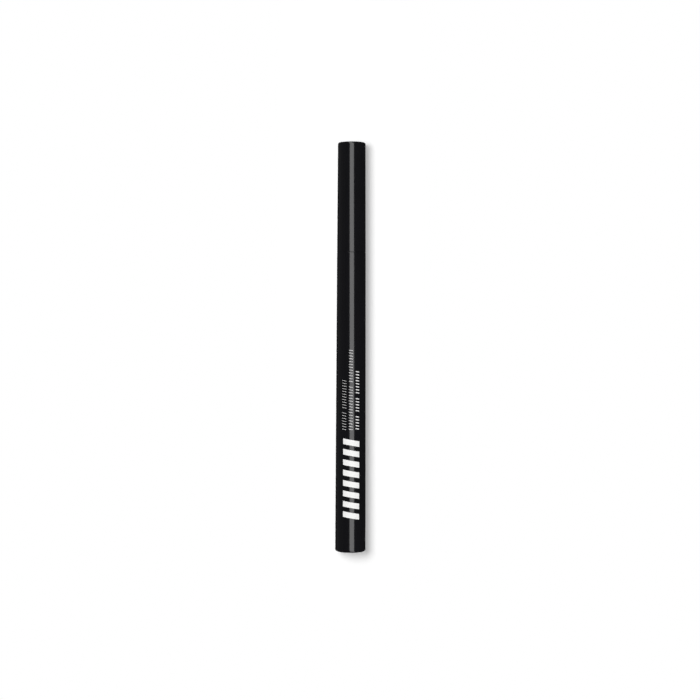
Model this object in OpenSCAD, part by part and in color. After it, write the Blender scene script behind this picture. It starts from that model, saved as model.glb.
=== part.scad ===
// Liquid eyeliner pen: a push-on cap over a brush that a finned collector feeds from a tank.
// The pen stands on its tail. Its axis is +Z and its tail face lies at z = 0.
// All sizes are in millimetres. Pieces are sized from the inside out and from the tail up.

/* [Barrel] */
// Length of the barrel, from the tail to the seam
barrel_len = 100.3; // [92:0.1:110]
// Outside diameter of the barrel at the tail
tail_d = 10.24; // [9.9:0.02:11]
// Outside diameter of the barrel at the seam
front_d = 9.6; // [9.3:0.05:10]
// Wall of the barrel where the front section plugs in
front_wall = 0.85; // [0.75:0.05:0.95]
// Wall of the barrel round the tail plug
tail_wall = 1.1; // [0.9:0.05:1.3]
// Width of the ledge in the bore that carries the ink collector
tank_ledge = 0.25; // [0.15:0.05:0.4]
// Radius of the outer edge of the tail
tail_edge_r = 0.7; // [0.3:0.05:0.9]
// Radius of the two edges that meet at the seam
seam_edge_r = 0.08; // [0.04:0.02:0.16]
// Gap that shows as the fine line between cap and barrel
seam_gap = 0.05; // [0.05:0.05:0.3]

/* [Cap] */
// How much smaller in radius the cap is than the barrel at the seam
cap_step = 0.01; // [0:0.01:0.08]
// How much the cap's radius shrinks from its mouth to its top
cap_draft = 0.17; // [0.05:0.01:0.25]
// Wall of the cap at its mouth
cap_wall = 0.63; // [0.55:0.02:0.75]
// Thickness of the closed top of the cap
cap_roof = 1.2; // [0.8:0.1:2]
// Radius of the edge of the cap's top
cap_edge_r = 0.6; // [0.3:0.05:0.9]
// Chamfer inside the mouth of the cap
cap_lead_in = 0.25; // [0.1:0.05:0.3]
// Depth of the groove in the cap that the neck's bead clicks into
snap_groove = 0.12; // [0.08:0.02:0.2]

/* [Cap inner seal] */
// Wall of the inner seal's sleeve
seal_wall = 0.58; // [0.45:0.02:0.65]
// Thickness of the flange that carries the inner seal
seal_flange_t = 0.8; // [0.5:0.1:1.2]
// Height of the lip that grips the nozzle
seal_lip_len = 2; // [1.5:0.1:2.4]
// Room between the inner seal and the nozzle above the lip
seal_room = 0.25; // [0.15:0.05:0.35]
// Thickness of the inner seal's closed end
seal_roof = 0.7; // [0.5:0.1:1.2]
// Free height over the brush inside the closed cap
tip_room = 5.68; // [4.6:0.02:8]

/* [Front section] */
// Length that plugs into the barrel
spigot_len = 7; // [5:0.5:9]
// Thickness of the flange that stops in the barrel's mouth
flange_t = 1; // [0.6:0.1:1.5]
// How far the flange's seat is wider in radius than the bore
flange_step = 0.35; // [0.2:0.05:0.4]
// Length of the neck that the cap slides over
neck_len = 9.6; // [8:0.2:14]
// Room between the neck and the cap's bore
neck_room = 0.25; // [0.15:0.05:0.35]
// Wall of the neck
neck_wall = 1.1; // [0.8:0.1:1.2]
// Height of the snap bead above the seam
bead_height = 4; // [2.5:0.1:6]
// Half of the width of the snap bead
bead_half = 0.5; // [0.3:0.05:0.8]
// Length of the cylinder that the inner seal closes on
land_len = 3.5; // [3.5:0.1:5]
// Wall of the nozzle at that cylinder
land_wall = 0.83; // [0.6:0.01:1]
// Length of the tapered nozzle
nozzle_len = 7.5; // [6:0.5:10]
// Wall of the nozzle at its mouth
mouth_wall = 0.43; // [0.3:0.01:0.5]
// Diameter of the air hole in the nozzle
vent_d = 0.8; // [0.5:0.1:0.9]

/* [Ink collector] */
// Length of the collector inside the barrel
collector_len = 26.4; // [20:0.2:32]
// Length of the nose that dips into the tank
feed_nose = 4; // [2:0.5:8]
// Wall of the tube down the middle of the collector
tube_wall = 0.65; // [0.5:0.05:0.8]
// Thickness of the disc that seals the tank
seal_disc_t = 1.2; // [0.8:0.1:2]
// Distance from one fin to the next
fin_pitch = 1; // [0.8:0.1:1.6]
// Thickness of a fin
fin_t = 0.4; // [0.25:0.05:0.5]
// Room round the fins
fin_room = 0.2; // [0.1:0.05:0.3]
// Width of the slot that carries the liquid
ink_slot_w = 0.3; // [0.2:0.05:0.5]
// Width of the slot that lets air back
air_slot_w = 1.2; // [0.6:0.1:1.6]

/* [Feed core and brush] */
// Diameter of the fibre feed core
core_d = 1.8; // [1.5:0.1:2]
// How far the feed core reaches out of the collector's nose
core_out = 4; // [1:0.5:6]
// Diameter of the brush at its root
brush_d = 2.2; // [2.1:0.1:2.6]
// Length of the brush in front of the nozzle
brush_out = 8.5; // [6:0.5:10]
// Number of rings of filaments round the brush's axis
brush_rings = 8; // [7:1:9]
// Length of the collar that holds the brush in the nozzle
collar_len = 6; // [5:0.5:7]
// Wall of the collar
collar_wall = 0.38; // [0.3:0.02:0.45]
// Thickness of the collar's flange
collar_flange_t = 0.8; // [0.5:0.1:1.2]
// How far the collar stands out of the nozzle
collar_out = 0.3; // [0.1:0.1:0.6]

/* [Tank] */
// Length of the tail plug
plug_len = 8; // [6:0.5:12]
// Thickness of the tail plug's closed end
plug_face_t = 1.2; // [1:0.1:2]
// Wall of the tail plug's skirt
plug_wall = 0.9; // [0.7:0.05:1.1]
// Diameter of the mixing ball
ball_d = 4; // [3:0.25:5]

/* [Clearances] */
// Gap drawn round pieces that are pressed together
fit_gap = 0.02; // [0.01:0.01:0.04]
// Running gap between pieces that slide on each other
slide_gap = 0.03; // [0.02:0.01:0.08]
// Height of the small sealing ribs
rib_h = 0.1; // [0.06:0.02:0.16]
// Half of the width of the small sealing ribs
rib_half = 0.35; // [0.2:0.05:0.5]
// Small chamfer on hidden edges
chamfer = 0.15; // [0.1:0.05:0.25]

/* [Hidden] */
smooth = 96;    // sides of a turned surface in the preview
overrun = fit_gap;    // how far a cut runs past the face that it opens

// Heights, from the tail up
seat_z = barrel_len - flange_t;
spigot_z = seat_z - spigot_len;
ledge_z = spigot_z - collector_len;
shoulder_z = barrel_len + neck_len;
land_z = shoulder_z + land_len;
nozzle_z = land_z + nozzle_len;
tip_z = nozzle_z + brush_out;
collar_seat_z = nozzle_z - collar_len;
collar_z = collar_seat_z - collar_flange_t;
root_z = collar_seat_z + 2 * collar_flange_t;
bead_z = barrel_len + bead_height;
vent_z = land_z - vent_d;

// Radii of the brush, its collar and the nozzle round them
core_r = core_d / 2;
tube_hole_r = core_r + slide_gap;
tube_r = tube_hole_r + tube_wall;
brush_r = brush_d / 2;
collar_r = brush_r + fit_gap + collar_wall;
collar_flange_r = max(tube_r, collar_r) + 2 * chamfer;
land_r = collar_flange_r + fit_gap + land_wall;
mouth_r = collar_r + fit_gap + mouth_wall;

// Radii of the barrel
tail_r = tail_d / 2;
front_r = front_d / 2;
bore_r = front_r - front_wall;
tank_r = bore_r - tank_ledge;
socket_r = tail_r - tail_wall;
flange_seat_r = bore_r + flange_step;
tail_round = min(tail_edge_r, tail_wall - chamfer);
socket_len = plug_len + fit_gap;

// Radii and heights of the cap
cap_z = barrel_len + seam_gap;
cap_mouth_r = front_r - cap_step;
cap_top_r = cap_mouth_r - cap_draft;
cap_bore_r = cap_mouth_r - cap_wall;
neck_r = cap_bore_r - neck_room;
bead_rise = neck_room - slide_gap;
cavity_r = neck_r - neck_wall;
seal_in_r = land_r + seal_room;
seal_r = seal_in_r + seal_wall;
seal_z = shoulder_z + fit_gap;
step_z = seal_z + seal_flange_t + fit_gap;
ceiling_z = tip_z + tip_room;
roof_z = ceiling_z + seal_roof + fit_gap;
cap_top_z = roof_z + cap_roof;

// Front section and collector
cavity_z = shoulder_z - neck_wall;
spigot_r = bore_r - fit_gap - rib_h;
neck_round = 2 * chamfer;
foot_r = flange_seat_r - fit_gap;
foot_z = cap_z + cap_bore_r + cap_lead_in - foot_r - 2 * slide_gap;
disc_r = bore_r - fit_gap;
stop_z = spigot_z - fit_gap;
nose_z = collar_z - fit_gap;
spigot_rib_shares = [0.22, 0.68];    // where the ribs stand along the spigot

// Tail plug and ball
plug_r = socket_r - fit_gap;
skirt_r = plug_r - rib_h;
cup_r = skirt_r - plug_wall;
plug_rib_shares = [0.4, 0.75];    // where the ribs stand along the plug
ball_z = plug_face_t + fit_gap + ball_d / 2;

// Brush filaments: how much of its cell one fills, and how the bundle draws in towards its tip
strand_fill_share = 0.74;
root_gap_share = 0.1;    // how deep in the collar the filaments part, of the collar's length
mid_height_share = 0.5;
mid_width_share = 0.8;
tip_width_share = 0.16;
outer_short_share = 0.34;    // how much shorter the outermost filaments are
bond_z = nozzle_z - root_gap_share * collar_len;
strand_len = tip_z - bond_z;

// Colours as the photo shows them, and those of such pieces inside
gloss_black = "#141416";
neck_black = "#1C1C1F";
seal_white = "#E4E6E3";
collector_white = "#D9DBD6";
core_grey = "#6E6A66";
filament_brown = "#2A2422";
steel = "#B9BCC0";

// Points of a round corner about a centre, from one angle to another
function corner(r, z, radius, from, to, steps = 6) =
    [for (i = [0:steps])
        let (a = from + (to - from) * i / steps)
        [r + radius * cos(a), z + radius * sin(a)]];

// Points of a low round bump on a wall of radius r, drawn upwards, or downwards with way = -1
function bump(r, z, rise, half_width, way = 1, steps = 6) =
    let (radius = (half_width * half_width + rise * rise) / (2 * rise),
         reach = asin(half_width / radius))
    [for (i = [0:steps])
        let (a = way * reach * (2 * i / steps - 1))
        [r + rise - radius + radius * cos(a), z + radius * sin(a)]];

// Points of a row of fins on a tube, as many as fit between two heights
function fins(r, from, to) =
    let (count = floor((to - from) / fin_pitch))
    [for (i = [0:count - 1])
        let (z = from + (i + 1) * fin_pitch - fin_t)
        each [[tube_r, z], [r, z], [r, z + fin_t], [tube_r, z + fin_t]]];

// A closed outline of [radius, height] points, turned about the pen's axis
module turned(outline) {
    rotate_extrude($fn = smooth) polygon(outline);
}

// Tapered tube: mouth for the front section, ledge for the collector, tank, socket for the plug
module barrel() {
    color(gloss_black)
    turned(concat(
        [[socket_r, 0]],
        corner(tail_r - tail_round, tail_round, tail_round, -90, 0),
        corner(front_r - seam_edge_r, barrel_len - seam_edge_r, seam_edge_r, 0, 90),
        [[flange_seat_r, barrel_len],
         [flange_seat_r, seat_z],
         [bore_r, seat_z],
         [bore_r, ledge_z],
         [tank_r, ledge_z],
         [tank_r, socket_len],
         [socket_r, socket_len]]));
}

// Hollow plug pressed into the tail, with two sealing ribs; the ball rests in its cup
module tail_plug() {
    color(gloss_black)
    turned(concat(
        [[0, 0],
         [plug_r - chamfer, 0],
         [plug_r, chamfer],
         [plug_r, plug_face_t],
         [skirt_r, plug_face_t]],
        [for (share = plug_rib_shares) each bump(skirt_r, share * plug_len, rib_h, rib_half)],
        [[skirt_r, plug_len - chamfer],
         [skirt_r - chamfer, plug_len],
         [cup_r, plug_len],
         [cup_r, plug_face_t + chamfer],
         [cup_r - chamfer, plug_face_t],
         [0, plug_face_t]]));
}

// Spigot, flange, neck with its snap bead, seal land and tapered nozzle in one moulding.
// The neck's cone-shaped foot stands inside the cap's lead-in: it centres the cap and closes the seam.
module front_section() {
    color(neck_black)
    difference() {
        turned(concat(
            [[cavity_r, spigot_z],
             [spigot_r, spigot_z]],
            [for (share = spigot_rib_shares)
                each bump(spigot_r, spigot_z + share * spigot_len, rib_h, rib_half)],
            [[spigot_r, seat_z],
             [foot_r, seat_z],
             [foot_r, foot_z],
             [neck_r, foot_z + foot_r - neck_r]],
            bump(neck_r, bead_z, bead_rise, bead_half),
            corner(neck_r - neck_round, shoulder_z - neck_round, neck_round, 0, 90),
            [[land_r, shoulder_z],
             [land_r, land_z - chamfer],
             [land_r - chamfer, land_z]],
            corner(mouth_r - chamfer, nozzle_z - chamfer, chamfer, 0, 90),
            [[collar_r + fit_gap, nozzle_z],
             [collar_r + fit_gap, collar_seat_z],
             [collar_flange_r + fit_gap, collar_seat_z],
             [collar_flange_r + fit_gap, cavity_z],
             [cavity_r, cavity_z]]));
        // air hole above the seal's lip
        translate([0, 0, vent_z])
            rotate([0, 90, 0])
                cylinder(d = vent_d, h = land_r + overrun, $fn = smooth);
    }
}

// Finned moulding that takes up spare liquid; it is held between the barrel's ledge and the spigot
module ink_collector() {
    slot_top = cavity_z - fin_pitch;
    color(collector_white)
    difference() {
        turned(concat(
            [[tube_hole_r, ledge_z - feed_nose],
             [tube_r, ledge_z - feed_nose],
             [tube_r, ledge_z],
             [disc_r, ledge_z],
             [disc_r, ledge_z + seal_disc_t],
             [tube_r, ledge_z + seal_disc_t]],
            fins(bore_r - fin_room, ledge_z + seal_disc_t, stop_z - fin_t),
            [[tube_r, stop_z - fin_t],
             [disc_r, stop_z - fin_t],
             [disc_r, stop_z],
             [tube_r, stop_z]],
            fins(cavity_r - fin_room, stop_z, slot_top),
            [[tube_r, nose_z],
             [tube_hole_r, nose_z]]));
        // narrow slot for the liquid, from the feed core out through every fin
        translate([-ink_slot_w / 2, 0, ledge_z - overrun])
            cube([ink_slot_w, bore_r, slot_top - ledge_z]);
        // wider slot for air on the other side, outside the tube and above the sealing disc
        translate([-air_slot_w / 2, -bore_r, ledge_z + seal_disc_t])
            cube([air_slot_w, bore_r - tube_r - chamfer, slot_top - ledge_z]);
    }
}

// Fibre rod from the tank to the root of the brush
module feed_core() {
    core_z = ledge_z - feed_nose - core_out;
    core_top = root_z - fit_gap;
    color(core_grey)
    turned([
        [0, core_z],
        [core_r - chamfer, core_z],
        [core_r, core_z + chamfer],
        [core_r, core_top - core_r / 2],
        [core_r / 2, core_top],
        [0, core_top]]);
}

// Flanged tube that holds the bonded root of the brush in the nozzle
module brush_collar() {
    top_z = nozzle_z + collar_out;
    color(neck_black)
    turned([
        [tube_hole_r, collar_z],
        [collar_flange_r, collar_z],
        [collar_flange_r, collar_seat_z - fit_gap],
        [collar_r, collar_seat_z - fit_gap],
        [collar_r, top_z - chamfer],
        [collar_r - chamfer, top_z],
        [brush_r + fit_gap, top_z],
        [brush_r + fit_gap, root_z],
        [tube_hole_r, root_z]]);
}

// The round section of the brush is shared out in rings of triangular cells, six more in each ring
function lattice_count(ring) = 1 + 3 * ring * (ring + 1);

function lattice_index(ring, step) =
    ring == 0 ? 0 : lattice_count(ring - 1) + step % (6 * ring);

function lattice_point(ring, step) =
    ring == 0 ? [0, 0]
    : brush_r * ring / brush_rings * [cos(60 * step / ring), sin(60 * step / ring)];

lattice = concat(
    [[0, 0]],
    [for (ring = [1:brush_rings], step = [0:6 * ring - 1]) lattice_point(ring, step)]);

// Each cell is three lattice indices, in turn round the cell
cells = [for (ring = [1:brush_rings], sector = [0:5], i = [0:2 * ring - 2])
    let (out = sector * ring + floor(i / 2), back = sector * (ring - 1) + floor(i / 2))
    i % 2 == 0
        ? [lattice_index(ring, out), lattice_index(ring, out + 1), lattice_index(ring - 1, back)]
        : [lattice_index(ring - 1, back), lattice_index(ring, out + 1),
           lattice_index(ring - 1, back + 1)]];

function cell_middle(cell) = (lattice[cell[0]] + lattice[cell[1]] + lattice[cell[2]]) / 3;

// Width of the bundle at a share of its length, the same for every filament, so none can cross
function width_share(height) =
    height < mid_height_share
        ? 1 - (1 - mid_width_share) * height / mid_height_share
        : mid_width_share - (mid_width_share - tip_width_share)
            * (height - mid_height_share) / (1 - mid_height_share);

function at_height(point, height) =
    let (flat = width_share(height) * point) [flat.x, flat.y, bond_z + height * strand_len];

// Seven points of one filament: its three corners at the root and halfway, and its tip
function filament_points(cell) =
    let (middle = cell_middle(cell),
         rim = norm(middle) / brush_r,
         corners = [for (k = cell) middle + strand_fill_share * (lattice[k] - middle)])
    concat(
        [for (p = corners) at_height(p, 0)],
        [for (p = corners) at_height(p, mid_height_share)],
        [at_height(middle, 1 - outer_short_share * rim * rim)]);

// Bundle of tapered three-sided filaments that stand on one bonded root
module brush_bristles() {
    rim_count = 6 * brush_rings;
    rim_start = lattice_count(brush_rings - 1);
    foot_start = lattice_count(brush_rings);
    strand_start = foot_start + rim_count;
    points = concat(
        [for (p = lattice) [p.x, p.y, bond_z]],
        [for (step = [0:rim_count - 1]) let (p = lattice[rim_start + step]) [p.x, p.y, root_z]],
        [for (cell = cells) each filament_points(cell)]);
    root_faces = concat(
        [for (i = [0:rim_count - 1])
            let (j = (i + 1) % rim_count)
            each [[foot_start + i, rim_start + i, rim_start + j],
                  [foot_start + i, rim_start + j, foot_start + j]]],
        [for (i = [1:rim_count - 2]) [foot_start, foot_start + i, foot_start + i + 1]]);
    strand_faces = [for (n = [0:len(cells) - 1], k = [0:2])
        let (next = (k + 1) % 3,
             a = cells[n][k],
             b = cells[n][next],
             low = strand_start + 7 * n,
             top = low + 6)
        each [[a, low + k, low + next],
              [a, low + next, b],
              [low + k, low + 3 + k, low + 3 + next],
              [low + k, low + 3 + next, low + next],
              [low + 3 + k, top, low + 3 + next]]];
    color(filament_brown)
    polyhedron(points = points, faces = concat(root_faces, strand_faces));
}

// Gloss cap: closed top, bore over the neck with a snap groove, narrower bore for the inner seal
module cap_shell() {
    color(gloss_black)
    turned(concat(
        corner(cap_mouth_r - seam_edge_r, cap_z + seam_edge_r, seam_edge_r, -90, 0),
        corner(cap_top_r - cap_edge_r, cap_top_z - cap_edge_r, cap_edge_r, 0, 90),
        [[0, cap_top_z],
         [0, roof_z],
         [seal_r + fit_gap, roof_z],
         [seal_r + fit_gap, step_z],
         [cap_bore_r, step_z]],
        bump(cap_bore_r, bead_z, snap_groove, bead_half, -1),
        [[cap_bore_r, cap_z + cap_lead_in],
         [cap_bore_r + cap_lead_in, cap_z]]));
}

// Inner cap whose lip closes on the nozzle, so that the brush stays wet
module cap_inner_seal() {
    lip_r = land_r + slide_gap;
    lip_z = seal_z + seal_lip_len;
    color(seal_white)
    turned([
        [lip_r, seal_z],
        [cap_bore_r - fit_gap, seal_z],
        [cap_bore_r - fit_gap, step_z - fit_gap],
        [seal_r, step_z - fit_gap],
        [seal_r, ceiling_z],
        [seal_r - chamfer, ceiling_z + seal_roof],
        [0, ceiling_z + seal_roof],
        [0, ceiling_z],
        [seal_in_r - chamfer, ceiling_z],
        [seal_in_r, ceiling_z - chamfer],
        [seal_in_r, lip_z + seal_room],
        [lip_r, lip_z]]);
}

// Loose steel ball that stirs the liquid
module mixing_ball() {
    color(steel)
    translate([0, 0, ball_z])
        sphere(d = ball_d, $fn = smooth);
}

barrel();
tail_plug();
front_section();
ink_collector();
feed_core();
brush_collar();
brush_bristles();
cap_shell();
cap_inner_seal();
mixing_ball();
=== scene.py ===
import math
import random

import bmesh
import bpy
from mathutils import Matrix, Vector


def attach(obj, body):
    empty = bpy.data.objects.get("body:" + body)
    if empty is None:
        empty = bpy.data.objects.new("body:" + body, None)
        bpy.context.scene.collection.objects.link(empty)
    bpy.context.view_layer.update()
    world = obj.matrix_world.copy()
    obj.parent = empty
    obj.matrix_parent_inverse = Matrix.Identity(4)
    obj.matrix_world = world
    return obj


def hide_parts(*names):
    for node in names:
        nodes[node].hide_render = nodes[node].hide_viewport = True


# Liquid eyeliner pen, closed, standing on its tail. Sizes in the dictionaries are in millimetres.
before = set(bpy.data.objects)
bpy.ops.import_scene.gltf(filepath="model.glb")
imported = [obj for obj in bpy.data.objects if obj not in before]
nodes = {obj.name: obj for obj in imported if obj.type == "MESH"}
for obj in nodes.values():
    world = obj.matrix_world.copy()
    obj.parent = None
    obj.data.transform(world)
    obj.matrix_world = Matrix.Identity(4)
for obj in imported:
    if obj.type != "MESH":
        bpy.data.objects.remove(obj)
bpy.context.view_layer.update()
mm = 0.001
print("frame loaded:", len(nodes), "nodes")


# helpers for colours, nodes and meshes

def toLinear(hexColour):
    # sRGB hex to the linear colour that shaders take
    parts = [int(hexColour[i:i + 2], 16) / 255 for i in (1, 3, 5)]
    return [p / 12.92 if p <= 0.04045 else ((p + 0.055) / 1.055) ** 2.4 for p in parts] + [1]


def addNode(tree, kind, inputs=None, **settings):
    # one node with its settings; an input is a plain value or the output that it links from
    node = tree.nodes.new(kind)
    for name, value in settings.items():
        setattr(node, name, value)
    for name, value in (inputs or {}).items():
        if isinstance(value, bpy.types.NodeSocket):
            tree.links.new(value, node.inputs[name])
        else:
            node.inputs[name].default_value = value
    return node


def newFinish(name, surface):
    # a material with plain values on its main shader, and object coordinates in millimetres
    material = bpy.data.materials.new(name)
    material.use_nodes = True
    tree = material.node_tree
    shader = tree.nodes["Principled BSDF"]
    for socket, value in surface.items():
        shader.inputs[socket].default_value = value
    place = addNode(tree, "ShaderNodeTexCoord").outputs["Object"]
    scaled = addNode(tree, "ShaderNodeVectorMath", {0: place, "Scale": 1 / mm}, operation="SCALE")
    return material, tree, shader, scaled.outputs["Vector"]


def emptyMaterial(name):
    # a material with no shader yet
    material = bpy.data.materials.new(name)
    material.use_nodes = True
    material.node_tree.nodes.clear()
    return material, material.node_tree


def arc(centreRadius, centreHeight, radius, start, end, steps=10):
    # round stretch of an outline between two angles in degrees; 0 points outwards and 90 points up
    turns = [math.radians(start + (end - start) * i / steps) for i in range(steps + 1)]
    return [(centreRadius + radius * math.cos(a), centreHeight + radius * math.sin(a)) for a in turns]


def withSupports(outline, reach=0.25):
    # extra points this far from both ends of long straight walls, so that smooth shading stays true there
    longEnough = 3 * reach
    points = []
    for (r0, z0), (r1, z1) in zip(outline, outline[1:] + outline[:1]):
        points.append((r0, z0))
        length = math.hypot(r1 - r0, z1 - z0)
        if length > longEnough and max(r0, r1) > 0:
            for share in (reach / length, 1 - reach / length):
                points.append((r0 + (r1 - r0) * share, z0 + (z1 - z0) * share))
    return points


def lathe(name, outline, sides=144):
    # a closed outline of (radius, height), turned about the pen's axis
    shape = bmesh.new()
    rings = []
    for r, z in withSupports(outline):
        turns = [2 * math.pi * i / sides for i in range(sides)] if r > 0 else [0]
        rings.append([shape.verts.new((r * math.cos(a) * mm, r * math.sin(a) * mm, z * mm))
                      for a in turns])
    for low, high in zip(rings, rings[1:] + rings[:1]):
        if len(low) == len(high) == 1:
            continue
        for i in range(sides):
            j = (i + 1) % sides
            corners = [low[i % len(low)], low[j % len(low)], high[j % len(high)], high[i % len(high)]]
            shape.faces.new(list(dict.fromkeys(corners)))
    return finishMesh(name, shape)


def finishMesh(name, shape, creaseAngle=32):
    # outward faces, smooth but for edges that turn by more degrees than the crease, linked to the scene
    bmesh.ops.recalc_face_normals(shape, faces=shape.faces)
    mesh = bpy.data.meshes.new(name)
    shape.to_mesh(mesh)
    shape.free()
    mesh.shade_smooth()
    mesh.set_sharp_from_angle(angle=math.radians(creaseAngle))
    piece = bpy.data.objects.new(name, mesh)
    bpy.context.scene.collection.objects.link(piece)
    return piece


def dress(piece, material):
    piece.data.materials.clear()
    piece.data.materials.append(material)


# camera

view = {
    "distance": 500,    # from the pen's axis
    "height": 80,       # above the tail
    "aim": 67.64,       # height of the point that it looks at, about half way up the pen
    "aside": -0.4,      # to the left, so that the pen stands just right of the picture's middle
    "lean": -0.2,       # degrees; the pen leans a little to the right in the picture
    "lens": 76.68,
    "sensor": 36,
}

camera = bpy.data.objects.new("camera", bpy.data.cameras.new("camera"))
camera.data.lens = view["lens"]
camera.data.sensor_width = view["sensor"]
camera.location = (view["aside"] * mm, -view["distance"] * mm, view["height"] * mm)
down = math.atan2(view["height"] - view["aim"], view["distance"])
camera.rotation_euler = (math.radians(90) - down, math.radians(view["lean"]), 0)
bpy.context.scene.collection.objects.link(camera)
bpy.context.scene.camera = camera
print("camera placed")


# barrel and cap: turned again from the CAD's sizes with more sides. Only the seam differs: it is closer and
# its edges are rounder, which gives a fine dark line that no light shines through

barrelSizes = {
    "length": 100.3,
    "tailRadius": 5.12,
    "frontRadius": 4.8,
    "tailRound": 0.7,
    "seamRound": 0.12,    # 0.08 in the CAD
    "socketRadius": 4.02,
    "socketDepth": 8.02,
    "tankRadius": 3.7,
    "ledgeHeight": 65.9,
    "boreRadius": 3.95,
    "seatHeight": 99.3,
    "seatRadius": 4.3,
}

capSizes = {
    "mouthHeight": 100.32,    # 100.35 in the CAD
    "topHeight": 137,
    "mouthRadius": 4.79,
    "topRadius": 4.62,
    "seamRound": 0.12,        # 0.08 in the CAD
    "topRound": 0.6,
    "roofHeight": 135.8,
    "pocketRadius": 3.58,
    "stepHeight": 110.74,     # the inner seal's flange stops under this step
    "boreRadius": 4.16,
    "grooveHeight": 104.3,    # the neck's bead clicks into this groove
    "grooveDepth": 0.12,
    "grooveHalf": 0.5,        # half of its width
    "leadIn": 0.25,
}


def barrelTube(name, s):
    tail, seam = s["tailRound"], s["seamRound"]
    outline = [(s["socketRadius"], 0)]
    outline += arc(s["tailRadius"] - tail, tail, tail, -90, 0)
    outline += arc(s["frontRadius"] - seam, s["length"] - seam, seam, 0, 90)
    outline += [
        (s["seatRadius"], s["length"]),
        (s["seatRadius"], s["seatHeight"]),
        (s["boreRadius"], s["seatHeight"]),
        (s["boreRadius"], s["ledgeHeight"]),
        (s["tankRadius"], s["ledgeHeight"]),
        (s["tankRadius"], s["socketDepth"]),
        (s["socketRadius"], s["socketDepth"]),
    ]
    return lathe(name, outline)


def capTube(name, s):
    top, seam = s["topRound"], s["seamRound"]
    # the groove is a shallow arc, worked out from its width and depth
    half, depth = s["grooveHalf"], s["grooveDepth"]
    grooveRadius = (half * half + depth * depth) / (2 * depth)
    grooveCentre = s["boreRadius"] + depth - grooveRadius
    reach = math.degrees(math.asin(half / grooveRadius))
    outline = arc(s["mouthRadius"] - seam, s["mouthHeight"] + seam, seam, -90, 0)
    outline += arc(s["topRadius"] - top, s["topHeight"] - top, top, 0, 90)
    outline += [
        (0, s["topHeight"]),
        (0, s["roofHeight"]),
        (s["pocketRadius"], s["roofHeight"]),
        (s["pocketRadius"], s["stepHeight"]),
        (s["boreRadius"], s["stepHeight"]),
    ]
    outline += arc(grooveCentre, s["grooveHeight"], grooveRadius, reach, -reach)
    outline += [
        (s["boreRadius"], s["mouthHeight"] + s["leadIn"]),
        (s["boreRadius"] + s["leadIn"], s["mouthHeight"]),
    ]
    return lathe(name, outline)


barrel = barrelTube("barrelShell", barrelSizes)
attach(barrel, "barrel_body")
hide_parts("barrel")

cap = capTube("capShell", capSizes)
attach(cap, "cap")
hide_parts("cap_shell")
print("barrel and cap turned")


# printed motif: slanted bars and rows of fine ticks in raised white ink

printSizes = {
    "slant": 10,           # degrees that each bar climbs to the left
    "inkRise": 0.025,      # thick screen-printed ink
    "inkRoot": 0.01,       # how far the ink's underside sits in the barrel's skin
    "bendLength": 0.4,     # a bar goes round the barrel in flats of about this length
    "barCount": 8,
    "barThick": 1.88,
    "barPitch": 3.47,
    "barLeft": -2.64,      # along the curved surface, from the middle of the front
    "barRight": 3.02,
    "barFoot": 12.59,      # height of the lowest bar's middle
    # each row of ticks: left, right, foot, thickness, pitch, ticks in each group
    "tickRows": [
        (-3.04, -1.54, 41.33, 0.1, 0.9, (7, 11)),
        (-0.65, 0.63, 41.33, 0.13, 0.94, (16, 12)),
        (1.65, 2.87, 41.5, 0.3, 1.0, (5, 5, 8)),
    ],
}


def addInk(shape, left, right, middle, thick):
    # one slanted bar of ink wrapped on the barrel, as a thin closed solid
    s, b = printSizes, barrelSizes
    steps = max(2, round((right - left) / s["bendLength"]))
    climb = math.tan(math.radians(s["slant"]))
    centre = (left + right) / 2
    under, over = -s["inkRoot"], s["inkRise"]
    sections = []
    for i in range(steps + 1):
        across = left + (right - left) * i / steps
        corners = []
        for rise, edge in ((under, -1), (under, 1), (over, 1), (over, -1)):
            height = middle + edge * thick / 2 - climb * (across - centre)
            wall = b["tailRadius"] + (b["frontRadius"] - b["tailRadius"]) * height / b["length"]
            turn = across / wall
            radius = wall + rise
            corners.append(shape.verts.new((radius * math.sin(turn) * mm,
                                            -radius * math.cos(turn) * mm, height * mm)))
        sections.append(corners)
    for near, far in zip(sections, sections[1:]):
        for k in range(4):
            shape.faces.new((near[k], near[(k + 1) % 4], far[(k + 1) % 4], far[k]))
    shape.faces.new(sections[0])
    shape.faces.new(sections[-1])


def printedMotif(name, s):
    shape = bmesh.new()
    for bar in range(s["barCount"]):
        addInk(shape, s["barLeft"], s["barRight"], s["barFoot"] + bar * s["barPitch"], s["barThick"])
    for left, right, foot, thick, pitch, groups in s["tickRows"]:
        place = 0
        for count in groups:
            for tick in range(place, place + count):
                addInk(shape, left, right, foot + tick * pitch, thick)
            place += count + 1    # one place is left free between groups
    return finishMesh(name, shape)


motif = printedMotif("printedMotif", printSizes)
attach(motif, "barrel_body")
print("motif printed")


# brush tip: fine tapered filaments that draw in to a point, rooted in one bonded stub

brushSizes = {
    "rootHeight": 116.5,
    "bondHeight": 120.3,
    "tipHeight": 129.38,
    "rootRadius": 1.1,
    "rootSides": 48,
    "filaments": 560,        # a real brush has more and finer ones
    "filamentRadius": 0.036,
    "belly": 0.36,           # share of the bundle's width that is lost evenly towards the tip
    "point": 0.46,           # share that is lost mostly near the tip
    "outerShorter": 0.34,    # share of its length that an outermost filament lacks
    "evenness": 0.75,        # least part of that share, so that the ends come out a little ragged
    "wander": 0.014,         # the most that a filament strays to a side
    "swayAcross": 5,         # radians of that wave along the whole brush, in each direction
    "swayDeep": 4,
    # a filament's thickness at shares of its length, from just inside the stub to its own end
    "taper": ((-0.03, 1), (0.25, 1), (0.5, 0.92), (0.75, 0.72), (0.93, 0.38), (1, 0)),
    "seed": 7,
}


def bundleWidth(s, share):
    # the bundle's width along its length: a full belly, then a fine point
    return 1 - s["belly"] * share - s["point"] * share ** 3


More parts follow.
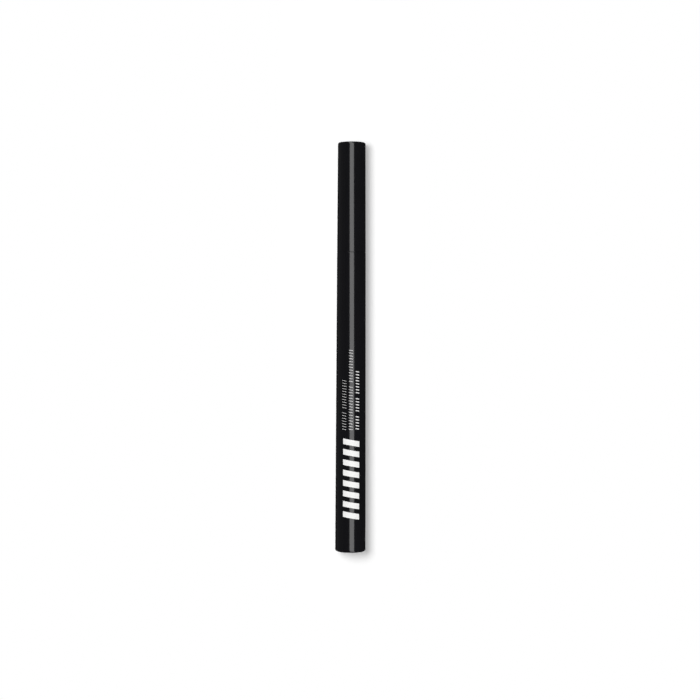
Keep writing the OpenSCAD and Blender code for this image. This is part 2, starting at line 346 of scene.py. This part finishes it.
def addFilament(shape, s, rim, turn, end, sway, phase):
    # one four-sided filament; rim is its share of the way from the axis to the bundle's outside
    packed = s["rootRadius"] - s["filamentRadius"]
    rings = []
    for share, thick in s["taper"]:
        along = share * end
        width = bundleWidth(s, max(along, 0)) * packed * rim
        x = width * math.cos(turn) + sway * math.sin(s["swayAcross"] * along + phase)
        y = width * math.sin(turn) + sway * math.cos(s["swayDeep"] * along + phase)
        z = s["bondHeight"] + along * (s["tipHeight"] - s["bondHeight"])
        radius = thick * s["filamentRadius"]
        corners = [k * math.pi / 2 + phase for k in range(4)] if thick else [0]
        rings.append([shape.verts.new(((x + radius * math.cos(a)) * mm,
                                       (y + radius * math.sin(a)) * mm, z * mm)) for a in corners])
    for low, high in zip(rings, rings[1:]):
        for k in range(4):
            corners = [low[k], low[(k + 1) % 4], high[(k + 1) % len(high)], high[k % len(high)]]
            shape.faces.new(list(dict.fromkeys(corners)))
    shape.faces.new(rings[0])


def addStub(shape, s):
    # bonded root under the filaments
    sides, radius = s["rootSides"], s["rootRadius"]
    turns = [2 * math.pi * k / sides for k in range(sides)]
    foot, top = [[shape.verts.new((radius * math.cos(a) * mm, radius * math.sin(a) * mm, z * mm))
                  for a in turns] for z in (s["rootHeight"], s["bondHeight"])]
    for k in range(sides):
        j = (k + 1) % sides
        shape.faces.new((foot[k], foot[j], top[j], top[k]))
    shape.faces.new(foot)
    shape.faces.new(top)


def brushTip(name, s):
    draw = random.Random(s["seed"])
    goldenTurn = math.pi * (3 - math.sqrt(5))    # packs the filaments evenly, as seeds in a sunflower
    shape = bmesh.new()
    for i in range(s["filaments"]):
        rim = math.sqrt((i + 0.5) / s["filaments"])
        end = 1 - s["outerShorter"] * rim * rim * draw.uniform(s["evenness"], 1)
        sway, phase = draw.uniform(0, s["wander"]), draw.uniform(0, 2 * math.pi)
        addFilament(shape, s, rim, i * goldenTurn, end, sway, phase)
    addStub(shape, s)
    return finishMesh(name, shape, creaseAngle=60)


brush = brushTip("brushFilaments", brushSizes)
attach(brush, "barrel_body")
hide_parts("brush_bristles")
print("brush laid up")


# finishes

glossAbs = {
    "black": "#141417",
    "deepBlack": "#111113",
    "shadePatch": 9,         # across a patch of slightly deeper black
    "smoothest": 0.1,
    "roughest": 0.15,        # along a sleek
    "peelPitch": 1.8,        # between the soft waves of the moulded skin
    "peelHeight": 0.0012,
    "sleekPitch": 0.35,      # between faint lengthwise sleeks; real ones are finer than the render shows
    "sleekSqueeze": 0.02,    # the pattern's pace along the pen, as a share of its pace across
    "sleekFrom": 0.35,       # the part of the noise that turns into sleeks
    "sleekTo": 0.75,
}


def glossMouldedAbs(name, s):
    # polished moulded black ABS: deep black, mirror-like, with the faint waves and sleeks of a moulded skin
    material, tree, shader, place = newFinish(name, {"IOR": 1.54})
    patches = addNode(tree, "ShaderNodeTexNoise", {
        "Vector": place, "Scale": 1 / s["shadePatch"], "Detail": 2})
    colour = addNode(tree, "ShaderNodeMix", {
        0: patches.outputs["Fac"], 6: toLinear(s["deepBlack"]), 7: toLinear(s["black"])}, data_type="RGBA")
    drawnOut = addNode(tree, "ShaderNodeVectorMath", {
        0: place, 1: (1, 1, s["sleekSqueeze"])}, operation="MULTIPLY")
    sleeks = addNode(tree, "ShaderNodeTexNoise", {
        "Vector": drawnOut.outputs["Vector"], "Scale": 1 / s["sleekPitch"], "Detail": 1})
    rough = addNode(tree, "ShaderNodeMapRange", {
        "Value": sleeks.outputs["Fac"], "From Min": s["sleekFrom"], "From Max": s["sleekTo"],
        "To Min": s["smoothest"], "To Max": s["roughest"]})
    waves = addNode(tree, "ShaderNodeTexNoise", {
        "Vector": place, "Scale": 1 / s["peelPitch"], "Detail": 0})
    skin = addNode(tree, "ShaderNodeBump", {
        "Height": waves.outputs["Fac"], "Distance": s["peelHeight"] * mm})
    tree.links.new(colour.outputs[2], shader.inputs["Base Color"])
    tree.links.new(rough.outputs["Result"], shader.inputs["Roughness"])
    tree.links.new(skin.outputs["Normal"], shader.inputs["Normal"])
    return material


satinPolypropylene = {
    # darker and lighter black, least and most roughness
    "neck": ("#1B1B1E", "#202023", 0.34, 0.46),
    "plug": ("#151518", "#19191C", 0.28, 0.4),
    "collar": ("#171719", "#1C1C1F", 0.32, 0.44),
    "flowWidth": 10 / 3,     # across the faint cloudy flow marks
    "grainPitch": 0.12,      # between the pits of a spark-eroded mould; drawn coarser than the real 0.03
    "grainHeight": 0.002,
}


def satinMouldedPp(name, darker, lighter, smoothest, roughest):
    # moulded black polypropylene from a spark-eroded tool: even, soft sheen with a fine pitted grain
    s = satinPolypropylene
    material, tree, shader, place = newFinish(name, {"IOR": 1.49})
    grain = addNode(tree, "ShaderNodeTexNoise", {
        "Vector": place, "Scale": 1 / s["grainPitch"], "Detail": 3})
    flow = addNode(tree, "ShaderNodeTexNoise", {
        "Vector": place, "Scale": 1 / s["flowWidth"], "Detail": 2})
    colour = addNode(tree, "ShaderNodeMix", {
        0: flow.outputs["Fac"], 6: toLinear(darker), 7: toLinear(lighter)}, data_type="RGBA")
    rough = addNode(tree, "ShaderNodeMapRange", {
        "Value": grain.outputs["Fac"], "To Min": smoothest, "To Max": roughest})
    skin = addNode(tree, "ShaderNodeBump", {
        "Height": grain.outputs["Fac"], "Distance": s["grainHeight"] * mm})
    tree.links.new(colour.outputs[2], shader.inputs["Base Color"])
    tree.links.new(rough.outputs["Result"], shader.inputs["Roughness"])
    tree.links.new(skin.outputs["Normal"], shader.inputs["Normal"])
    return material


naturalMoulding = {
    # lighter and darker shade, least and most roughness, share of the light that goes in
    "seal": ("#E2E5E2", "#D6DAD7", 0.31, 0.44, 0.35),
    "collector": ("#D9DCD5", "#CDD0C8", 0.37, 0.5, 0.2),
    "lightDepth": 0.5,       # how far that light goes in
    "lightShares": (0.9, 0.95, 0.85),    # of that depth, for red, green and blue
    "flowWidth": 2.5,        # across the cloudy flow marks
    "grainPitch": 0.2,       # drawn coarser than the mould's real grain, which would not show
    "grainHeight": 0.0015,
}


def naturalMouldedPlastic(name, lighter, darker, smoothest, roughest, glow):
    # unpigmented moulding, milky and slightly waxy: light goes a little way in, so edges look soft
    s = naturalMoulding
    material, tree, shader, place = newFinish(name, {
        "IOR": 1.5, "Subsurface Weight": glow, "Subsurface Radius": s["lightShares"],
        "Subsurface Scale": s["lightDepth"] * mm})
    cloud = addNode(tree, "ShaderNodeTexNoise", {
        "Vector": place, "Scale": 1 / s["flowWidth"], "Detail": 3})
    colour = addNode(tree, "ShaderNodeMix", {
        0: cloud.outputs["Fac"], 6: toLinear(lighter), 7: toLinear(darker)}, data_type="RGBA")
    grain = addNode(tree, "ShaderNodeTexNoise", {
        "Vector": place, "Scale": 1 / s["grainPitch"], "Detail": 2})
    rough = addNode(tree, "ShaderNodeMapRange", {
        "Value": grain.outputs["Fac"], "To Min": smoothest, "To Max": roughest})
    skin = addNode(tree, "ShaderNodeBump", {
        "Height": grain.outputs["Fac"], "Distance": s["grainHeight"] * mm})
    tree.links.new(colour.outputs[2], shader.inputs["Base Color"])
    tree.links.new(rough.outputs["Result"], shader.inputs["Roughness"])
    tree.links.new(skin.outputs["Normal"], shader.inputs["Normal"])
    return material


bondedFibre = {
    "dry": "#5E5955",
    "soaked": "#2B2826",
    "roughness": 0.85,
    "fibrePitch": 0.09,      # drawn coarser than the real fibres, which would not show
    "fibreHeight": 0.012,
    "fibreSqueeze": 0.06,    # the pattern's pace along the rod, as a share of its pace across
    "soakFrom": 0.35,        # the part of the noise that goes from soaked to dry
    "soakTo": 0.65,
}


def bondedPolyesterFibre(name, s):
    # heat-bonded polyester fibres drawn lengthwise: matt, streaky, darker where the liquid has soaked in
    material, tree, shader, place = newFinish(name, {"IOR": 1.5, "Roughness": s["roughness"]})
    drawnOut = addNode(tree, "ShaderNodeVectorMath", {
        0: place, 1: (1, 1, s["fibreSqueeze"])}, operation="MULTIPLY")
    fibres = addNode(tree, "ShaderNodeTexNoise", {
        "Vector": drawnOut.outputs["Vector"], "Scale": 1 / s["fibrePitch"], "Detail": 3})
    soak = addNode(tree, "ShaderNodeMapRange", {
        "Value": fibres.outputs["Fac"], "From Min": s["soakFrom"], "From Max": s["soakTo"]})
    colour = addNode(tree, "ShaderNodeMix", {
        0: soak.outputs["Result"], 6: toLinear(s["soaked"]), 7: toLinear(s["dry"])}, data_type="RGBA")
    skin = addNode(tree, "ShaderNodeBump", {
        "Height": fibres.outputs["Fac"], "Distance": s["fibreHeight"] * mm})
    tree.links.new(colour.outputs[2], shader.inputs["Base Color"])
    tree.links.new(skin.outputs["Normal"], shader.inputs["Normal"])
    return material


brushPbt = {
    "root": "#1A1614",
    "tip": "#3A2D25",
    "roughness": 0.28,
    "thinFrom": 123.9,       # height at which the points begin to thin out and turn brown
    "thinTo": 129.4,
}


def taperedFilament(name, s):
    # tapered PBT filament, wet with liquid: dark and glossy, a warmer brown where the points thin out
    material, tree, shader, place = newFinish(name, {"IOR": 1.56, "Roughness": s["roughness"]})
    height = addNode(tree, "ShaderNodeSeparateXYZ", {"Vector": place})
    thin = addNode(tree, "ShaderNodeMapRange", {
        "Value": height.outputs["Z"], "From Min": s["thinFrom"], "From Max": s["thinTo"]})
    colour = addNode(tree, "ShaderNodeMix", {
        0: thin.outputs["Result"], 6: toLinear(s["root"]), 7: toLinear(s["tip"])}, data_type="RGBA")
    tree.links.new(colour.outputs[2], shader.inputs["Base Color"])
    return material


ballSteel = {
    "steel": "#C4C6CA",
    "shade": "#B2B5BA",
    "smoothest": 0.08,
    "roughest": 0.16,
    "lapPitch": 0.25,        # drawn coarser than real lapping marks, which would not show
    "lapHeight": 0.0004,
}


def lappedSteel(name, s):
    # ground and lapped bearing-grade steel: bright and near mirror, clouded a little by its lapping marks
    material, tree, shader, place = newFinish(name, {"Metallic": 1})
    laps = addNode(tree, "ShaderNodeTexNoise", {
        "Vector": place, "Scale": 1 / s["lapPitch"], "Detail": 4})
    colour = addNode(tree, "ShaderNodeMix", {
        0: laps.outputs["Fac"], 6: toLinear(s["steel"]), 7: toLinear(s["shade"])}, data_type="RGBA")
    rough = addNode(tree, "ShaderNodeMapRange", {
        "Value": laps.outputs["Fac"], "To Min": s["smoothest"], "To Max": s["roughest"]})
    skin = addNode(tree, "ShaderNodeBump", {
        "Height": laps.outputs["Fac"], "Distance": s["lapHeight"] * mm})
    tree.links.new(colour.outputs[2], shader.inputs["Base Color"])
    tree.links.new(rough.outputs["Result"], shader.inputs["Roughness"])
    tree.links.new(skin.outputs["Normal"], shader.inputs["Normal"])
    return material


screenInk = {
    "white": "#F7F7F6",
    "thinner": "#F1F1F0",
    "smoothest": 0.45,
    "roughest": 0.6,
    "meshPitch": 0.12,       # between the marks that the screen's mesh leaves
    "meshHeight": 0.003,
}


def screenPrintedInk(name, s):
    # white screen-printing ink: opaque and half matt, slightly uneven from the screen's mesh
    material, tree, shader, place = newFinish(name, {"IOR": 1.5})
    marks = addNode(tree, "ShaderNodeTexNoise", {
        "Vector": place, "Scale": 1 / s["meshPitch"], "Detail": 2})
    colour = addNode(tree, "ShaderNodeMix", {
        0: marks.outputs["Fac"], 6: toLinear(s["white"]), 7: toLinear(s["thinner"])}, data_type="RGBA")
    rough = addNode(tree, "ShaderNodeMapRange", {
        "Value": marks.outputs["Fac"], "To Min": s["smoothest"], "To Max": s["roughest"]})
    skin = addNode(tree, "ShaderNodeBump", {
        "Height": marks.outputs["Fac"], "Distance": s["meshHeight"] * mm})
    tree.links.new(colour.outputs[2], shader.inputs["Base Color"])
    tree.links.new(rough.outputs["Result"], shader.inputs["Roughness"])
    tree.links.new(skin.outputs["Normal"], shader.inputs["Normal"])
    return material


dress(barrel, glossMouldedAbs("glossBlackAbsBarrel", glossAbs))
dress(cap, glossMouldedAbs("glossBlackAbsCap", glossAbs))
dress(motif, screenPrintedInk("whiteScreenInk", screenInk))
dress(brush, taperedFilament("wetPbtFilament", brushPbt))
dress(nodes["tail_plug"], satinMouldedPp("satinBlackPlug", *satinPolypropylene["plug"]))
dress(nodes["front_section"], satinMouldedPp("satinBlackNeck", *satinPolypropylene["neck"]))
dress(nodes["brush_collar"], satinMouldedPp("satinBlackCollar", *satinPolypropylene["collar"]))
dress(nodes["cap_inner_seal"], naturalMouldedPlastic("naturalPpSeal", *naturalMoulding["seal"]))
dress(nodes["ink_collector"], naturalMouldedPlastic("naturalAbsCollector", *naturalMoulding["collector"]))
dress(nodes["feed_core"], bondedPolyesterFibre("bondedFibreCore", bondedFibre))
dress(nodes["mixing_ball"], lappedSteel("lappedSteelBall", ballSteel))
print("finishes applied")


# studio: white surroundings, dark flags for the gloss, tall soft lights and dim grey cards

studio = {
    "middle": 67.54,         # height of the spheres' centre, about half way up the pen
    "ambient": 0.43,         # light from all round, for the matt side of each finish
    "flagLevel": 0.022,
    "flagRadius": 1400,
    "flagTop": 89,           # degrees that the flags reach up and down
    "windowHalf": 4,         # degrees left open on each side behind the pen
    "lightRadius": 900,
    "faceAngle": 5,          # degrees across one face of a light, card or flag
    "frontLean": 0.44,       # degrees of azimuth that the front light gives way for each degree it climbs
    # each light or card: azimuth from, to, elevation from, to, strength
    "frontLight": (-11, 22, -40, 65, 2.9),
    "rearLightLow": (172, 188, -65, -12, 2.9),
    "rearLightMiddle": (172, 188, -12, 12, 0.8),
    "rearLightHigh": (172, 188, 12, 65, 2.9),
    "topLight": (0, 360, 68, 90, 1.2),
    "cardNear": (-80, -55, -60, 60, 0.045),
    "cardMiddle": (-105, -80, -60, 60, 0.07),
    "cardFar": (-128, -105, -60, 60, 0.1),
}


def spherePatch(name, fromAzimuth, toAzimuth, fromElevation, toElevation, radius, material, lean=0):
    # part of a sphere round the pen; azimuth 0 is the camera's side and grows to its right
    shape = bmesh.new()
    columns = max(2, round((toAzimuth - fromAzimuth) / studio["faceAngle"]))
    rows = max(2, round((toElevation - fromElevation) / studio["faceAngle"]))
    grid = []
    for i in range(columns + 1):
        azimuth = math.radians(fromAzimuth + (toAzimuth - fromAzimuth) * i / columns)
        column = []
        for j in range(rows + 1):
            elevation = math.radians(fromElevation + (toElevation - fromElevation) * j / rows)
            flat = radius * math.cos(elevation)
            turn = azimuth - lean * elevation
            column.append(shape.verts.new((flat * math.sin(turn) * mm, -flat * math.cos(turn) * mm,
                                           (radius * math.sin(elevation) + studio["middle"]) * mm)))
        grid.append(column)
    for near, far in zip(grid, grid[1:]):
        for j in range(rows):
            shape.faces.new((near[j], far[j], far[j + 1], near[j + 1]))
    patch = finishMesh(name, shape)
    dress(patch, material)
    patch.visible_camera = False
    patch.visible_shadow = False
    return patch


def glowing(name, strength):
    # plain white glow
    material, tree = emptyMaterial(name)
    glow = addNode(tree, "ShaderNodeEmission", {"Strength": strength})
    addNode(tree, "ShaderNodeOutputMaterial", {"Surface": glow.outputs["Emission"]})
    return material


def seenDirectly(tree):
    # 1 for rays from the camera, mirrored rays and rays through clear things, else 0
    path = addNode(tree, "ShaderNodeLightPath")
    mirrored = addNode(tree, "ShaderNodeMath", {
        0: path.outputs["Is Glossy Ray"], 1: path.outputs["Is Transmission Ray"]}, operation="MAXIMUM")
    either = addNode(tree, "ShaderNodeMath", {
        0: path.outputs["Is Camera Ray"], 1: mirrored.outputs["Value"]}, operation="MAXIMUM")
    return either.outputs["Value"]


def whiteSurroundings(name):
    # plain white where it is seen directly, and a softer light on matt surfaces
    world = bpy.data.worlds.new(name)
    bpy.context.scene.world = world
    world.use_nodes = True
    tree = world.node_tree
    tree.nodes.clear()
    level = addNode(tree, "ShaderNodeMapRange", {
        "Value": seenDirectly(tree), "To Min": studio["ambient"], "To Max": 1})
    sky = addNode(tree, "ShaderNodeBackground", {"Color": (1, 1, 1, 1), "Strength": level.outputs["Result"]})
    addNode(tree, "ShaderNodeOutputWorld", {"Surface": sky.outputs["Background"]})


whiteSurroundings("studioWhite")
flagEnd = 180 - studio["windowHalf"]
flags = spherePatch("flags", -flagEnd, flagEnd, -studio["flagTop"], studio["flagTop"],
                    studio["flagRadius"], glowing("darkFlag", studio["flagLevel"]))
# the flags and the cards show only in the gloss, and the lights fall on matt surfaces too
flags.visible_diffuse = False
flags.visible_transmission = False
for name in ("frontLight", "rearLightLow", "rearLightMiddle", "rearLightHigh", "topLight",
             "cardNear", "cardMiddle", "cardFar"):
    *span, strength = studio[name]
    patch = spherePatch(name, *span, studio["lightRadius"], glowing(name, strength),
                        studio["frontLean"] if name == "frontLight" else 0)
    patch.visible_diffuse = "Light" in name
print("surroundings, flags, lights and cards placed")


# white table: upright behind the standing pen, as if the pen lay on it and were seen from above

table = {
    "behind": 5.2,           # from the pen's axis to the table
    "left": -70,
    "right": 90,
    "bottom": -60,
    "top": 240,
    "reach": 177,            # top of the cap when it is pulled off
    "fadeFrom": 12,          # distance from the pen's axis where the table starts to melt into the white
    "fadeTo": 26,
    "matt": 0.1,             # share of the light on it that the table gives back
    "shadowShare": 0.59,     # how much of the white the key light makes
    "keyDistance": 493,      # a round softbox, up and to the left of the camera
    "keyAzimuth": -17.8,     # degrees
    "keyHeight": 138,        # above the tail
    "keyAim": -100,          # below the tail, so that both ends of the pen get as much light
    "keyWidth": 238,
    "keyPower": 17.1,        # watts
}


def meltingWhite(name, t):
    # matt white that takes the pen's shadow and turns into the plain white background away from the pen
    material, tree = emptyMaterial(name)
    place = addNode(tree, "ShaderNodeTexCoord").outputs["Object"]
    height = addNode(tree, "ShaderNodeSeparateXYZ", {"Vector": place}).outputs["Z"]
    alongPen = addNode(tree, "ShaderNodeClamp", {"Value": height, "Max": t["reach"] * mm})
    nearest = addNode(tree, "ShaderNodeCombineXYZ", {"Y": t["behind"] * mm, "Z": alongPen.outputs["Result"]})
    fromPen = addNode(tree, "ShaderNodeVectorMath", {
        0: place, 1: nearest.outputs["Vector"]}, operation="DISTANCE")
    fade = addNode(tree, "ShaderNodeMapRange", {
        "Value": fromPen.outputs["Value"], "From Min": t["fadeFrom"] * mm, "From Max": t["fadeTo"] * mm},
        interpolation_type="SMOOTHSTEP")
    # near the pen the key light and the surroundings make part of the white, and a glow makes up the rest
    seen = seenDirectly(tree)
    missing = 1 - t["shadowShare"] - t["matt"] * studio["ambient"]
    matt = addNode(tree, "ShaderNodeBsdfDiffuse", {"Color": [t["matt"]] * 3 + [1]})
    lift = addNode(tree, "ShaderNodeMath", {0: seen, 1: missing}, operation="MULTIPLY")
    glow = addNode(tree, "ShaderNodeEmission", {"Strength": lift.outputs["Value"]})
    lit = addNode(tree, "ShaderNodeAddShader", {0: matt.outputs["BSDF"], 1: glow.outputs["Emission"]})
    plain = addNode(tree, "ShaderNodeEmission", {"Strength": seen})
    whole = addNode(tree, "ShaderNodeMixShader", {
        "Fac": fade.outputs["Result"], 1: lit.outputs["Shader"], 2: plain.outputs["Emission"]})
    # clear from behind, so that it hides no view
    clear = addNode(tree, "ShaderNodeBsdfTransparent")
    side = addNode(tree, "ShaderNodeNewGeometry")
    oneSided = addNode(tree, "ShaderNodeMixShader", {
        "Fac": side.outputs["Backfacing"], 1: whole.outputs["Shader"], 2: clear.outputs["BSDF"]})
    addNode(tree, "ShaderNodeOutputMaterial", {"Surface": oneSided.outputs["Shader"]})
    return material


def whiteTable(name, t):
    shape = bmesh.new()
    left, right, bottom, top = t["left"], t["right"], t["bottom"], t["top"]
    corners = [(left, bottom), (right, bottom), (right, top), (left, top)]
    shape.faces.new([shape.verts.new((x * mm, t["behind"] * mm, z * mm)) for x, z in corners])
    surface = finishMesh(name, shape)
    # it shows in no mirror image and casts no light or shadow on the pen
    surface.visible_glossy = False
    surface.visible_diffuse = False
    surface.visible_shadow = False
    dress(surface, meltingWhite(name, t))
    return surface


def keyLight(name, t, onlyOn):
    # a soft key that lights the table alone, so that its glare stays off the pen
    lamp = bpy.data.objects.new(name, bpy.data.lights.new(name, "AREA"))
    lamp.data.shape = "DISK"
    lamp.data.size = t["keyWidth"] * mm
    lamp.data.energy = t["keyPower"]
    turn, away = math.radians(t["keyAzimuth"]), t["keyDistance"]
    place = Vector((away * math.sin(turn), -away * math.cos(turn), t["keyHeight"])) * mm
    aim = Vector((0, 0, t["keyAim"])) * mm
    lamp.location = place
    lamp.rotation_euler = (aim - place).to_track_quat("-Z", "Y").to_euler()
    lamp.visible_camera = False
    lamp.visible_glossy = False
    bpy.context.scene.collection.objects.link(lamp)
    receivers = bpy.data.collections.new("litByKey")
    receivers.objects.link(onlyOn)
    lamp.light_linking.receiver_collection = receivers


keyLight("keyLight", table, whiteTable("whiteTable", table))
bpy.context.scene.view_settings.view_transform = "Standard"
print("table laid and lit")
